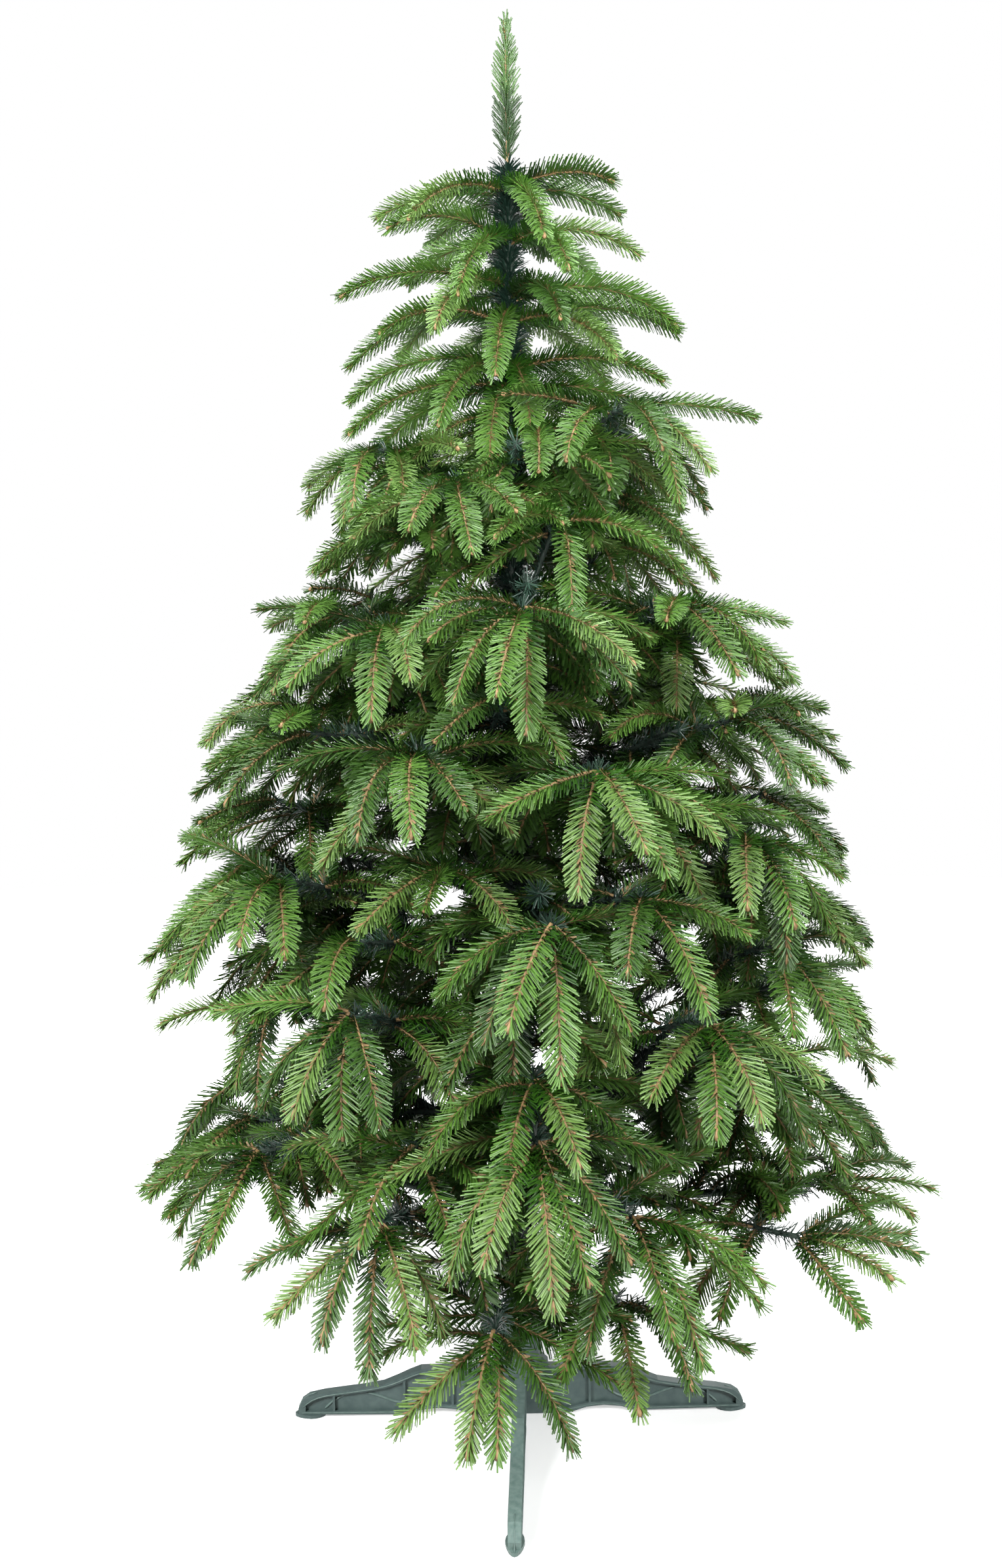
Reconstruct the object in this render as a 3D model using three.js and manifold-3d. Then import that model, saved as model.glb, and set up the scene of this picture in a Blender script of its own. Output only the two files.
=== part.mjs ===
// Undecorated artificial spruce with moulded needle tips on a crossed-blade plastic stand.
// Millimetres, +Z up, origin on the floor under the middle of the stand, -Y is the front.
import * as THREE from 'three';
import { mergeVertices } from 'three/addons/utils/BufferGeometryUtils.js';
import Module from 'manifold-3d';

// ---- driving dimensions -------------------------------------------------
const TREE_HEIGHT = 1800;          // floor to the top of the leader
const GAP = 0.35;                  // clearance left between touching pieces
const WELD = 0.03;                 // edges shorter than this left by the cuts are closed up

const LEG_REACH = 290;             // middle of the stand to the end of a leg
const LEG_WIDTH = 14;              // across the flanges
const WEB_WIDTH = 4;               // recessed web between the flanges
const FLANGE = 4.5;
const SIDE_YAW = 0.8, FRONT_YAW = -2.4;   // the halved blades sit a little out of square
const HUMP_Z = 60;                 // top of the blade near the middle
const LAP_Z = 30;                  // height at which the two blades halve together
const PAD_LONG = 21, PAD_WIDE = 10.5, PAD_THICK = 4;

const SOCKET_R = 25, SOCKET_BORE = 17.6, SOCKET_TOP = 132, SOCKET_FLOOR = 12;
const POLE_FOOT_R = 16.5, POLE_TOP_R = 11.5, POLE_TOP_Z = 1602;
const LEADER_WIDE = 46;

const BOUGH_ROOT_R = 9, BOUGH_END_R = 5.5, BOUGH_SIDES = 5, BOUGH_STEPS = 4;

// whorls set straight on the pole: height, reach left, right, front, back, droop, thickness
const WHORLS = [
  { z: 1583, left: 158, right: 172, front: 120, back: 140, droop: 34, thick: 40, seed: 11 },
  { z: 1524, left: 156, right: 182, front: 150, back: 150, droop: 34, thick: 34, seed: 12 },
  { z: 1437, left: 232, right: 212, front: 178, back: 200, droop: 58, thick: 52, seed: 13 },
  { z: 1339, left: 236, right: 226, front: 196, back: 228, droop: 76, thick: 62, seed: 14 },
];

// tiers of hinged boughs: hub height, hub radius, rise of the limb, reach out / side / back,
// droop, thickness, and for each limb its bearing (0 = front, + = right), spread and lift
const TIERS = [
  { name: 'e', z: 1226, hub: 150, rise: 66, out: 170, side: 138, back: 96, droop: 78, thick: 84,
    at: [[72, 0.98, 22], [-72, 0.98, -12], [178, 1, 0], [2, 1, -22]] },
  { name: 'f', z: 1030, hub: 226, rise: 100, out: 150, side: 190, back: 150, droop: 92, thick: 108,
    at: [[4, 1, 0], [84, 1, 0], [-84, 0.95, -8], [178, 1, 4]] },
  { name: 'g', z: 862, hub: 272, rise: 118, out: 160, side: 226, back: 176, droop: 104, thick: 112,
    at: [[-44, 1.02, 6], [44, 1, 4], [136, 1, -4], [-134, 1, 2]] },
  { name: 'h', z: 696, hub: 322, rise: 132, out: 158, side: 258, back: 206, droop: 112, thick: 118,
    at: [[4, 1, 0], [88, 0.96, 14], [-90, 1.02, -20], [180, 1, 0]] },
  { name: 'j', z: 486, hub: 346, rise: 122, out: 146, side: 226, back: 206, droop: 106, thick: 116,
    at: [[2, 1.02, 0], [70, 0.95, 4], [-76, 0.88, -22], [142, 1, 0], [-144, 0.98, 4]] },
  { name: 'k', z: 318, hub: 348, rise: 84, out: 158, side: 214, back: 190, droop: 96, thick: 78,
    at: [[-12, 0.95, -22], [64, 1.06, 14], [164, 1, 0], [-98, 0.84, 6]] },
];
const RINGS = [0.42, 0.76, 1];     // where the rings of a mass fall between hub and rim
const UNDER_FILL = 0.72;           // share of the droop already taken at the middle of the underside
const UNDER_THICK = 0.22;
const LOBES = 9;                  // tips standing out round the rim of a mass

// ---- helpers ------------------------------------------------------------
const wasm = await Module();
wasm.setup();

function rng(seed) {
  let s = (seed * 2654435761) >>> 0;
  return () => {
    s = (s + 0x6d2b79f5) >>> 0;
    let t = s;
    t = Math.imul(t ^ (t >>> 15), t | 1);
    t ^= t + Math.imul(t ^ (t >>> 7), t | 61);
    return ((t ^ (t >>> 14)) >>> 0) / 4294967296;
  };
}

function toManifold(geometry) {
  const g = geometry.clone();
  g.deleteAttribute('normal');
  g.deleteAttribute('uv');
  const m = mergeVertices(g, 1e-4);
  return new wasm.Manifold(new wasm.Mesh({
    numProp: 3,
    vertProperties: Float32Array.from(m.attributes.position.array),
    triVerts: Uint32Array.from(m.index.array),
  }));
}

function fromManifold(solid) {
  const mesh = solid.simplify(WELD).getMesh();
  const g = new THREE.BufferGeometry();
  const p = new Float32Array(mesh.numVert * 3);
  for (let i = 0; i < mesh.numVert; i++) {
    for (let k = 0; k < 3; k++) p[i * 3 + k] = mesh.vertProperties[i * mesh.numProp + k];
  }
  g.setAttribute('position', new THREE.BufferAttribute(p, 3));
  g.setIndex(new THREE.BufferAttribute(Uint32Array.from(mesh.triVerts), 1));
  const flat = g.toNonIndexed();
  flat.computeVertexNormals();
  return flat;
}

function biggest(solid) {
  const parts = solid.decompose();
  parts.sort((a, b) => b.volume() - a.volume());
  return parts[0];
}

function indexed(points, faces) {
  const g = new THREE.BufferGeometry();
  g.setAttribute('position', new THREE.Float32BufferAttribute(points.flat(), 3));
  g.setIndex(faces.flat());
  return g;
}

const toRad = (d) => (d * Math.PI) / 180;
// unit vector pointing away from the pole at a bearing, and the one to its left hand side
const outward = (a) => [Math.sin(toRad(a)), -Math.cos(toRad(a))];
const sideways = (a) => [Math.cos(toRad(a)), Math.sin(toRad(a))];

// a closed, lobed, drooping pad of foliage; reach(phi) gives its plan, grow swells it for cutting
function pad({ cx, cy, z, bearing, reach, droop, thick, seed, lobes = LOBES }, grow = 0) {
  const rand = rng(seed);
  const n = lobes * 2;
  const u = outward(bearing), v = sideways(bearing);
  const pts = [], faces = [];
  const lobe = [], sag = [];
  for (let i = 0; i < n; i++) {
    lobe.push((i % 2 ? 0.8 : 1) * (0.95 + 0.05 * rand()));
    sag.push(0.86 + 0.28 * rand());
  }
  const ridge = 0.9 + 0.2 * rand();
  const at = (i, s, dz, under = false) => {
    const phi = ((i + 0.5 * (seed % 2)) / n) * Math.PI * 2;
    const star = 1 + (lobe[i] - 1) * Math.min(1, s * s * 1.15);
    let r = reach(phi) * s * star;
    const arch = 0.16 * thick * Math.sin(Math.PI * Math.min(1, s * 1.2)) * ridge;
    // the top falls away to the rim; the underside is shallow, filled by the tips that hang there
    const fall = under ? UNDER_FILL + (1 - UNDER_FILL) * s * s : Math.pow(s, 2.1);
    let zz = z + (under ? 0 : arch) - droop * sag[i] * fall + dz;
    if (s === 1) {
      zz -= (2 * grow * 2.1 * droop * sag[i]) / r;
      r += 2 * grow;
    }
    const a = Math.cos(phi) * r, b = Math.sin(phi) * r;
    return [cx + u[0] * a + v[0] * b, cy + u[1] * a + v[1] * b, zz];
  };
  const half = (s) => 0.5 * thick * Math.sqrt(Math.max(0, 1 - Math.pow(s, 1.7)));
  pts.push([cx, cy, z + half(0) * 0.9 + 2 * grow]);
  for (const s of RINGS.slice(0, 2)) for (let i = 0; i < n; i++) pts.push(at(i, s, half(s) * (0.9 + 0.25 * rand()) + 2 * grow));
  const rim = pts.length;
  for (let i = 0; i < n; i++) pts.push(at(i, 1, 0));
  const under = pts.length;
  for (const s of [RINGS[1], RINGS[0]]) for (let i = 0; i < n; i++) pts.push(at(i, s, -UNDER_THICK * half(s) * (0.85 + 0.3 * rand()) - 2 * grow, true));
  pts.push([cx, cy, z - droop * UNDER_FILL - UNDER_THICK * half(0) - 2 * grow]);
  const rings = [1, 1 + n, rim, under, under + n];
  for (let i = 0; i < n; i++) {
    const j = (i + 1) % n;
    faces.push([0, 1 + i, 1 + j]);
    for (let k = 0; k < rings.length - 1; k++) {
      const a = rings[k], b = rings[k + 1];
      faces.push([a + i, b + i, b + j], [a + i, b + j, a + j]);
    }
    faces.push([rings[4] + j, rings[4] + i, pts.length - 1]);
  }
  return toManifold(indexed(pts, faces));
}

// a round, tapering limb through a list of centres with a radius at each
function limb(centres, radii, sides) {
  const pts = [], faces = [];
  const n = centres.length;
  for (let k = 0; k < n; k++) {
    const a = centres[Math.max(0, k - 1)], b = centres[Math.min(n - 1, k + 1)];
    const t = new THREE.Vector3().subVectors(b, a).normalize();
    const up = new THREE.Vector3(0, 0, 1);
    const x = new THREE.Vector3().crossVectors(t, up).normalize();
    const y = new THREE.Vector3().crossVectors(x, t).normalize();
    for (let i = 0; i < sides; i++) {
      const f = (i / sides) * Math.PI * 2;
      const p = centres[k].clone().addScaledVector(x, Math.cos(f) * radii[k]).addScaledVector(y, Math.sin(f) * radii[k]);
      pts.push([p.x, p.y, p.z]);
    }
  }
  for (let k = 0; k < n - 1; k++) {
    for (let i = 0; i < sides; i++) {
      const j = (i + 1) % sides;
      const a = k * sides, b = (k + 1) * sides;
      faces.push([a + i, b + j, b + i], [a + i, a + j, b + j]);
    }
  }
  const c0 = pts.length; pts.push(centres[0].toArray());
  const c1 = pts.length; pts.push(centres[n - 1].toArray());
  for (let i = 0; i < sides; i++) {
    const j = (i + 1) % sides;
    faces.push([c0, j, i], [c1, (n - 1) * sides + i, (n - 1) * sides + j]);
  }
  return indexed(pts, faces);
}

function outwardFacing(geometry) {
  // flips a closed surface whose signed volume comes out negative
  const p = geometry.attributes.position, ix = geometry.index.array;
  let v = 0;
  const a = new THREE.Vector3(), b = new THREE.Vector3(), c = new THREE.Vector3();
  for (let i = 0; i < ix.length; i += 3) {
    a.fromBufferAttribute(p, ix[i]); b.fromBufferAttribute(p, ix[i + 1]); c.fromBufferAttribute(p, ix[i + 2]);
    v += a.dot(b.clone().cross(c)) / 6;
  }
  if (v < 0) for (let i = 0; i < ix.length; i += 3) { const t = ix[i + 1]; ix[i + 1] = ix[i + 2]; ix[i + 2] = t; }
  return geometry;
}

// ---- stand --------------------------------------------------------------
function bladeOutline(inset) {
  // one half of the blade seen from the side, as far as the end of the leg
  const top = [[0, HUMP_Z], [128, HUMP_Z - 1], [142, HUMP_Z - 6], [158, 47], [176, 40], [200, 36], [252, 30], [272, 26], [281, 20], [285, 12]];
  const low = [[284, 4], [160, 2.4], [152, 1], [144, 2.4], [128, 7.4], [106, 9.4], [84, 7.2], [66, 1.8], [57, 0], [0, 0]];
  const pts = top.map(([x, z]) => [x, z]).concat(low.map(([x, z]) => [x, z]));
  if (!inset) return pts;
  const t = [[0, HUMP_Z - inset], [126, HUMP_Z - inset - 1], [139, HUMP_Z - inset - 5], [155, 46 - inset], [174, 40 - inset], [199, 36 - inset], [250, 30 - inset], [268, 26 - inset], [276, 17]];
  const l = [[276, 3 + inset], [160, 2.4 + inset], [144, 3 + inset], [126, 8 + inset], [106, 9.6 + inset], [84, 8 + inset], [64, 3.4 + inset], [56, 1.5 + inset], [0, 1.5 + inset]];
  return t.concat(l);
}

function halfPlate(pts, width, mirror, from = 0) {
  const shape = new THREE.Shape(pts.map(([x, z]) => new THREE.Vector2(Math.max(x, from), z)));
  const g = new THREE.ExtrudeGeometry(shape, { depth: width, bevelEnabled: false, curveSegments: 1 });
  g.translate(0, 0, -width / 2);
  g.rotateX(Math.PI / 2);
  if (mirror) g.rotateZ(Math.PI);
  return toManifold(g);
}

function box(w, d, h, x, y, z) {
  const g = new THREE.BoxGeometry(w, d, h);
  g.translate(x, y, z);
  return toManifold(g);
}

function footPad(sign) {
  // pointed oval with its point outwards
  const s = new THREE.Shape();
  const n = 16;
  const pts = [];
  for (let i = 0; i < n; i++) {
    const a = (i / n) * Math.PI * 2;
    const point = Math.cos(a) > 0 ? 1 : 0.86;
    pts.push(new THREE.Vector2(Math.cos(a) * PAD_LONG * point, Math.sin(a) * PAD_WIDE * (1 - 0.22 * Math.max(0, Math.cos(a)))));
  }
  s.setFromPoints(pts);
  const g = new THREE.ExtrudeGeometry(s, { depth: PAD_THICK, bevelEnabled: false });
  g.translate(LEG_REACH - PAD_LONG, 0, 0);
  if (sign < 0) g.rotateZ(Math.PI);
  return toManifold(g);
}

function blade(turn, cross, slotFromTop) {
  let b = halfPlate(bladeOutline(0), LEG_WIDTH, false).add(halfPlate(bladeOutline(0), LEG_WIDTH, true));
  // recessed panels either side of the web, clear of the middle
  const depth = (LEG_WIDTH - WEB_WIDTH) / 2;
  for (const mirror of [false, true]) {
    const panel = halfPlate(bladeOutline(FLANGE), depth + 1, mirror, 30);
    b = b.subtract(panel.translate([0, WEB_WIDTH / 2 + (depth + 1) / 2, 0]));
    b = b.subtract(panel.translate([0, -WEB_WIDTH / 2 - (depth + 1) / 2, 0]));
  }
  for (const sign of [1, -1]) {
    // stiffening ribs across the panel
    for (const [d, z0, z1] of [[88, 10, 57], [150, 4, 48], [240, 5, 29]]) b = b.add(box(3, LEG_WIDTH - 1, z1 - z0, sign * d, 0, (z0 + z1) / 2));
    b = b.add(footPad(sign));
  }
  const slot = LEG_WIDTH + 2 * GAP;
  const notch = (z0, z1) => box(slot, LEG_WIDTH * 3, z1 - z0, 0, 0, (z0 + z1) / 2).rotate([0, 0, cross - turn]);
  if (slotFromTop) b = b.subtract(notch(LAP_Z, HUMP_Z + 5));
  else b = b.subtract(notch(-5, LAP_Z + GAP));
  return b.rotate([0, 0, turn]);
}

function lathe(profile, sides) {
  const g = new THREE.LatheGeometry(profile.map(([r, z]) => new THREE.Vector2(r, z)), sides);
  g.rotateX(Math.PI / 2);
  return toManifold(g);
}

const socketFoot = HUMP_Z + GAP;
const socket = lathe([[0, socketFoot], [36, socketFoot], [36, socketFoot + 5], [SOCKET_R + 3, socketFoot + 12], [SOCKET_R, SOCKET_TOP],
  [SOCKET_BORE, SOCKET_TOP], [SOCKET_BORE, socketFoot + SOCKET_FLOOR], [0, socketFoot + SOCKET_FLOOR]], 14);

// ---- pole and leader ----------------------------------------------------
const poleFoot = socketFoot + SOCKET_FLOOR + GAP;
const poleR = (z) => POLE_FOOT_R + ((POLE_TOP_R - POLE_FOOT_R) * (z - poleFoot)) / (POLE_TOP_Z - poleFoot);
const pole = lathe([[0, poleFoot], [POLE_FOOT_R, poleFoot], [poleR(600), 600], [poleR(1150), 1150], [POLE_TOP_R, POLE_TOP_Z], [0, POLE_TOP_Z]], 14);
const poleCut = lathe([[0, poleFoot - 5], [POLE_FOOT_R + GAP, poleFoot - 5], [POLE_TOP_R + GAP, POLE_TOP_Z + 3], [0, POLE_TOP_Z + 3]], 14);

function leader() {
  const rand = rng(5);
  const z0 = POLE_TOP_Z + GAP, len = TREE_HEIGHT - z0, sides = 8;
  const along = [0, 0.1, 0.28, 0.5, 0.72, 0.9, 1];
  const wide = [0.34, 0.72, 1, 0.98, 0.9, 0.62, 0.12];
  const pts = [], faces = [];
  along.forEach((t, k) => {
    for (let i = 0; i < sides; i++) {
      const a = (i / sides) * Math.PI * 2;
      const r = 0.5 * LEADER_WIDE * wide[k] * (k && k < 6 ? 0.9 + 0.1 * rand() : 1);
      pts.push([Math.cos(a) * r, Math.sin(a) * r * 0.86, z0 + len * t]);
    }
  });
  for (let k = 0; k < along.length - 1; k++) for (let i = 0; i < sides; i++) {
    const j = (i + 1) % sides, a = k * sides, b = (k + 1) * sides;
    faces.push([a + i, a + j, b + j], [a + i, b + j, b + i]);
  }
  const c0 = pts.length; pts.push([0, 0, z0]);
  const c1 = pts.length; pts.push([0, 0, TREE_HEIGHT]);
  for (let i = 0; i < sides; i++) {
    const j = (i + 1) % sides;
    faces.push([c0, j, i], [c1, (along.length - 1) * sides + i, (along.length - 1) * sides + j]);
  }
  return toManifold(outwardFacing(indexed(pts, faces)));
}

// ---- boughs and masses --------------------------------------------------
const oval = (out, back, left, right) => (phi) => {
  const c = Math.cos(phi), s = Math.sin(phi);
  const a = c > 0 ? out : back, b = s > 0 ? right : left;
  return 1 / Math.sqrt((c * c) / (a * a) + (s * s) / (b * b));
};

const masses = [];
const boughs = [];
WHORLS.forEach((w, k) => {
  const spec = { cx: 0, cy: 0, z: w.z, bearing: 0, reach: oval(w.front, w.back, w.left, w.right), droop: w.droop, thick: w.thick, seed: w.seed, lobes: 8 };
  masses.push({ name: `foliage_whorl_${k + 1}`, solid: pad(spec), grown: pad(spec, GAP), whorl: true });
});

TIERS.forEach((t, ti) => {
  t.at.forEach(([bearing, spread, lift], bi) => {
    const seed = 100 + ti * 17 + bi * 5;
    const rand = rng(seed);
    const hub = t.hub * spread, z = t.z + lift;
    const [ux, uy] = outward(bearing);
    const side = t.side * spread * (0.98 + 0.04 * rand());
    const spec = { cx: ux * hub, cy: uy * hub, z, bearing, reach: oval(t.out * spread, t.back * spread, side, side), droop: t.droop, thick: t.thick, seed, lobes: t.hub < 200 ? LOBES - 2 : LOBES };
    const tag = `${t.name}${bi + 1}`;
    masses.push({ name: `foliage_${tag}`, solid: pad(spec), grown: pad(spec, GAP) });
    const z0 = z - t.rise, r0 = poleR(z0) + GAP;
    const centres = [], radii = [];
    for (let k = 0; k <= BOUGH_STEPS; k++) {
      const f = k / BOUGH_STEPS;
      const d = r0 + (hub - r0) * f;
      centres.push(new THREE.Vector3(ux * d, uy * d, z0 + t.rise * (1 - Math.pow(1 - f, 1.45))));
      radii.push(BOUGH_ROOT_R + (BOUGH_END_R - BOUGH_ROOT_R) * f);
    }
    const raw = outwardFacing(limb(centres, radii, BOUGH_SIDES));
    const fat = outwardFacing(limb(centres, radii.map((r) => r + GAP * 1.2), BOUGH_SIDES));
    boughs.push({ name: `bough_${tag}`, mass: `foliage_${tag}`, solid: toManifold(raw), grown: toManifold(fat) });
  });
});

// masses are cut round the pole, round limbs passing through them, and by the masses above them
masses.forEach((m) => { m.whole = m.solid; });
masses.forEach((m, i) => {
  let s = m.solid.subtract(poleCut);
  boughs.forEach((b) => { if (b.mass !== m.name) s = s.subtract(b.grown); });
  for (let k = 0; k < i; k++) s = s.subtract(masses[k].grown).subtract(masses[k].whole);
  m.solid = biggest(s);
});
// each limb is trimmed back to clear the pole and ends where it enters its mass
boughs.forEach((b) => {
  const own = masses.find((m) => m.name === b.mass);
  b.solid = biggest(b.solid.subtract(poleCut).subtract(own.grown));
});

// ---- assembly -----------------------------------------------------------
const finish = {
  stand: { color: 0x3f5a54, roughness: 0.55, metalness: 0 },
  wrap: { color: 0x1c3327, roughness: 0.85, metalness: 0 },
  limb: { color: 0x24402f, roughness: 0.85, metalness: 0 },
  needle: { color: 0x4a7538, roughness: 0.7, metalness: 0 },
};

const tree = new THREE.Group();
tree.name = 'spruce_tree';
function place(name, solid, look) {
  const mesh = new THREE.Mesh(fromManifold(solid), new THREE.MeshStandardMaterial(finish[look]));
  mesh.name = name;
  tree.add(mesh);
}

place('stand_blade_side', blade(SIDE_YAW, FRONT_YAW, true), 'stand');
place('stand_blade_front', blade(90 + FRONT_YAW, 90 + SIDE_YAW, false), 'stand');
place('stand_socket', socket, 'stand');
place('pole', pole, 'wrap');
boughs.forEach((b) => place(b.name, b.solid, 'limb'));
place('leader', leader(), 'needle');
masses.forEach((m) => place(m.name, m.solid, 'needle'));

export default tree;
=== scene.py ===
import math

import bpy
import bmesh
import numpy as np
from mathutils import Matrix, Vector


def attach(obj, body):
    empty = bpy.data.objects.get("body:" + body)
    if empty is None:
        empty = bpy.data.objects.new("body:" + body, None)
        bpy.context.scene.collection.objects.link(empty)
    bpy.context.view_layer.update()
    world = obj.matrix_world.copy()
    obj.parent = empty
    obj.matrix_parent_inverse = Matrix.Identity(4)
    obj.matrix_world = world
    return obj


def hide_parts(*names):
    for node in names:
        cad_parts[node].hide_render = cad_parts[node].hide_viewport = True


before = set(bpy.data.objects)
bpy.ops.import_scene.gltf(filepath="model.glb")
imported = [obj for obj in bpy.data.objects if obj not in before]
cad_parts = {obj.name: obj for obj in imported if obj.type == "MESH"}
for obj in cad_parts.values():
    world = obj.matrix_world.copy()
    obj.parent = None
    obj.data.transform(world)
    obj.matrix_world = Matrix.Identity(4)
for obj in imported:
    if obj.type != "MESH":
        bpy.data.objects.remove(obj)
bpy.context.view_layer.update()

RNG = np.random.default_rng(1804)
scene = bpy.context.scene


# ------------------------------------------------------------------ sizes
POLE_TOP_Z = 1.602
POLE_FOOT_Z = 0.0727
POLE_FOOT_R, POLE_TOP_R = 0.0165, 0.0115
TREE_TOP = 1.800

# tiers of boughs as in the CAD: hub height, hub radius, rise, and bearing, spread, lift of each limb
TIERS = {
    "e": (1.226, 0.150, 0.066, [(72, 0.98, 0.022), (-72, 0.98, -0.012), (178, 1, 0), (2, 1, -0.022)]),
    "f": (1.030, 0.226, 0.100, [(4, 1, 0), (84, 1, 0), (-84, 0.95, -0.008), (178, 1, 0.004)]),
    "g": (0.862, 0.272, 0.118, [(-44, 1.02, 0.006), (44, 1, 0.004), (136, 1, -0.004), (-134, 1, 0.002)]),
    "h": (0.696, 0.322, 0.132, [(4, 1, 0), (88, 0.96, 0.014), (-90, 1.02, -0.020), (180, 1, 0)]),
    "j": (0.486, 0.346, 0.122, [(2, 1.02, 0), (70, 0.95, 0.004), (-76, 0.88, -0.022), (142, 1, 0), (-144, 0.98, 0.004)]),
    "k": (0.318, 0.348, 0.084, [(-12, 0.95, -0.022), (64, 1.06, 0.014), (164, 1, 0), (-98, 0.84, 0.006)]),
}

# fans of tips: bearing in degrees (0 = front, + = right), distance of the hub from the pole, its height,
# number of tips, tip length factor
FANS_FRONT = [
    (18, 0.100, 1.228, 5, 0.90), (60, 0.165, 1.266, 8, 1.08), (-25, 0.150, 1.160, 8, 0.95), (-80, 0.170, 1.232, 8, 1.08),
    (66, 0.140, 1.160, 6, 0.92), (-66, 0.140, 1.112, 6, 0.92), (20, 0.165, 1.110, 7, 0.95),
    (2, 0.240, 0.998, 9, 1.06), (49, 0.250, 1.014, 8, 1.00), (-42, 0.220, 0.989, 8, 1.00), (-74, 0.215, 1.018, 8, 1.04),
    (78, 0.235, 0.985, 7, 1.00), (-88, 0.262, 0.905, 8, 1.00), (82, 0.275, 0.900, 8, 1.02),
    (-57, 0.280, 0.870, 8, 1.00), (-21, 0.295, 0.842, 9, 1.04), (16, 0.310, 0.817, 9, 1.04), (54, 0.300, 0.876, 8, 1.00),
    (-4, 0.220, 0.905, 5, 0.92), (-84, 0.300, 0.790, 8, 1.00), (84, 0.310, 0.790, 8, 1.00), (34, 0.270, 0.765, 6, 0.92),
    (49, 0.335, 0.743, 9, 1.00), (-54, 0.330, 0.702, 9, 1.02), (-18, 0.250, 0.715, 7, 0.96), (5, 0.370, 0.666, 10, 1.06),
    (22, 0.340, 0.690, 6, 0.95), (74, 0.340, 0.672, 8, 1.00), (-78, 0.335, 0.652, 8, 1.04), (-38, 0.290, 0.635, 6, 0.92),
    (-27, 0.372, 0.575, 9, 1.04), (30, 0.380, 0.564, 9, 1.02), (54, 0.350, 0.622, 8, 1.00), (78, 0.345, 0.560, 8, 1.00),
    (0, 0.280, 0.590, 6, 0.92), (-58, 0.330, 0.560, 7, 0.95), (54, 0.345, 0.490, 7, 0.98),
    (2, 0.345, 0.512, 7, 0.98), (2, 0.398, 0.464, 10, 1.05), (-50, 0.370, 0.412, 9, 1.00), (-18, 0.345, 0.440, 8, 0.98),
    (84, 0.365, 0.430, 8, 1.02), (-76, 0.330, 0.400, 8, 1.05),
    (15, 0.400, 0.388, 9, 1.02), (48, 0.395, 0.322, 9, 1.06), (-20, 0.405, 0.386, 9, 0.94),
    (-4, 0.410, 0.290, 9, 1.02), (17, 0.330, 0.275, 7, 0.92), (70, 0.370, 0.330, 8, 1.06), (-72, 0.340, 0.345, 6, 0.96),
]
# the same tiers carried on round the back
FANS_ROUND = [
    (1.240, 0.150, (118, 178, -122)),
    (1.150, 0.150, (110, 160, -150, -100)),
    (1.040, 0.222, (108, 150, -166, -122)),
    (0.960, 0.235, (128, 172, -144, -104)),
    (0.870, 0.278, (112, 148, -176, -140, -108)),
    (0.780, 0.290, (116, 162, -156, -112)),
    (0.700, 0.328, (102, 136, 170, -154, -120, -94)),
    (0.610, 0.330, (112, 152, -168, -130, -100)),
    (0.530, 0.342, (104, 136, 170, -152, -118)),
    (0.440, 0.346, (110, 150, -170, -132, -102)),
    (0.350, 0.342, (100, 134, 168, -156, -120, -92)),
    (0.285, 0.300, (120, 178, -132)),
]
# whorls set straight on the pole: height, reach of the tips, number, start bearing, start and end slope
WHORLS = [
    (1.570, 0.152, 7, 8, 17, -30), (1.508, 0.160, 7, 34, 24, -32), (1.440, 0.205, 7, 20, 23, -36), (1.400, 0.222, 7, 46, 20, -38),
    (1.352, 0.205, 7, 16, 12, -38), (1.318, 0.205, 7, -10, 4, -46), (1.272, 0.200, 8, 30, -4, -54),
]


def unit(v):
    return v / np.linalg.norm(v, axis=-1, keepdims=True)


def bearing(a):
    """Horizontal unit vector at a bearing in radians: 0 is the front, + is to the right."""
    a = np.asarray(a, float)
    return np.stack([np.sin(a), -np.cos(a), np.zeros_like(a)], -1)


# ------------------------------------------------------------------ mesh helpers
def mesh_from(name, verts, tris, smooth=True):
    me = bpy.data.meshes.new(name)
    verts = np.ascontiguousarray(verts, np.float32)
    tris = np.ascontiguousarray(tris, np.int32)
    me.vertices.add(len(verts))
    me.vertices.foreach_set("co", verts.ravel())
    me.loops.add(tris.size)
    me.loops.foreach_set("vertex_index", tris.ravel())
    me.polygons.add(len(tris))
    me.polygons.foreach_set("loop_start", np.arange(0, tris.size, 3, dtype=np.int32))
    me.polygons.foreach_set("loop_total", np.full(len(tris), 3, np.int32))
    me.polygons.foreach_set("use_smooth", np.full(len(tris), smooth, bool))
    me.update(calc_edges=True)
    me.validate()
    ob = bpy.data.objects.new(name, me)
    scene.collection.objects.link(ob)
    return ob


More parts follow.
